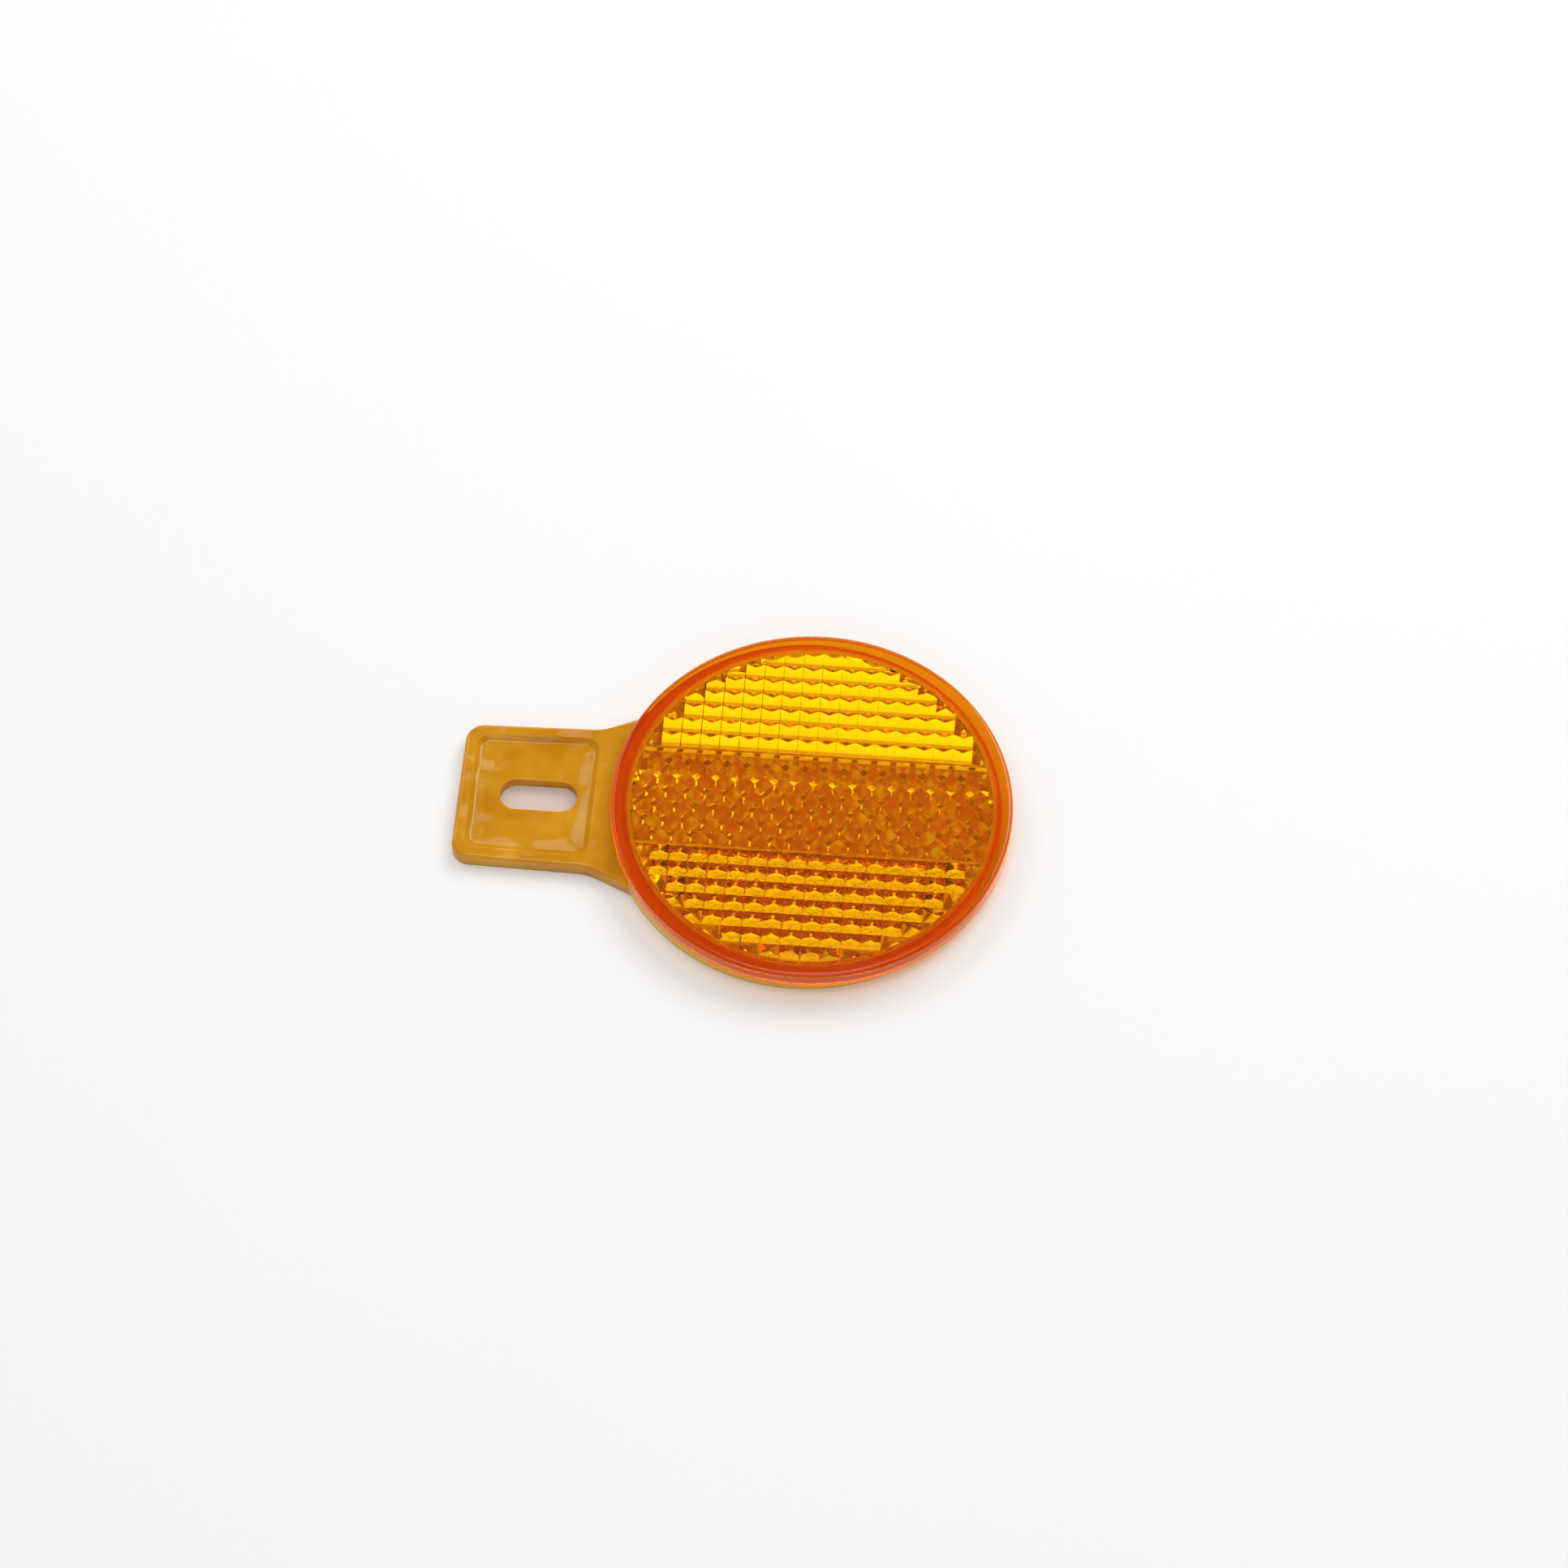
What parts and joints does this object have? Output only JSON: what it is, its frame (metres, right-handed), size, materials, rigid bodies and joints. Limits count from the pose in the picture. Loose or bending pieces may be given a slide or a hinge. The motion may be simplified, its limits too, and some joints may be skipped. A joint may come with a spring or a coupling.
{
  "type": "spoke reflector",
  "caption": "Round prismatic reflector for a bicycle wheel: an amber lens disc over a flat back plate whose tab carries a slotted bolt hole.",
  "frame": {"origin": "on the flat back face of the plate, on the axis of the round lens", "axes": "+Z out of the front of the lens, the slotted tab towards -Y, +X across the tab"},
  "size_m": [0.06, 0.083, 0.005],
  "materials": {
    "lens_amber": "clear amber moulded plastic, smooth front, prismatic back",
    "plate_ochre": "yellow ochre moulded plastic, slightly see-through, glossy"
  },
  "bodies": {
    "root": {"lens": "lens_amber", "back_plate": "plate_ochre"}
  },
  "joints": []
}
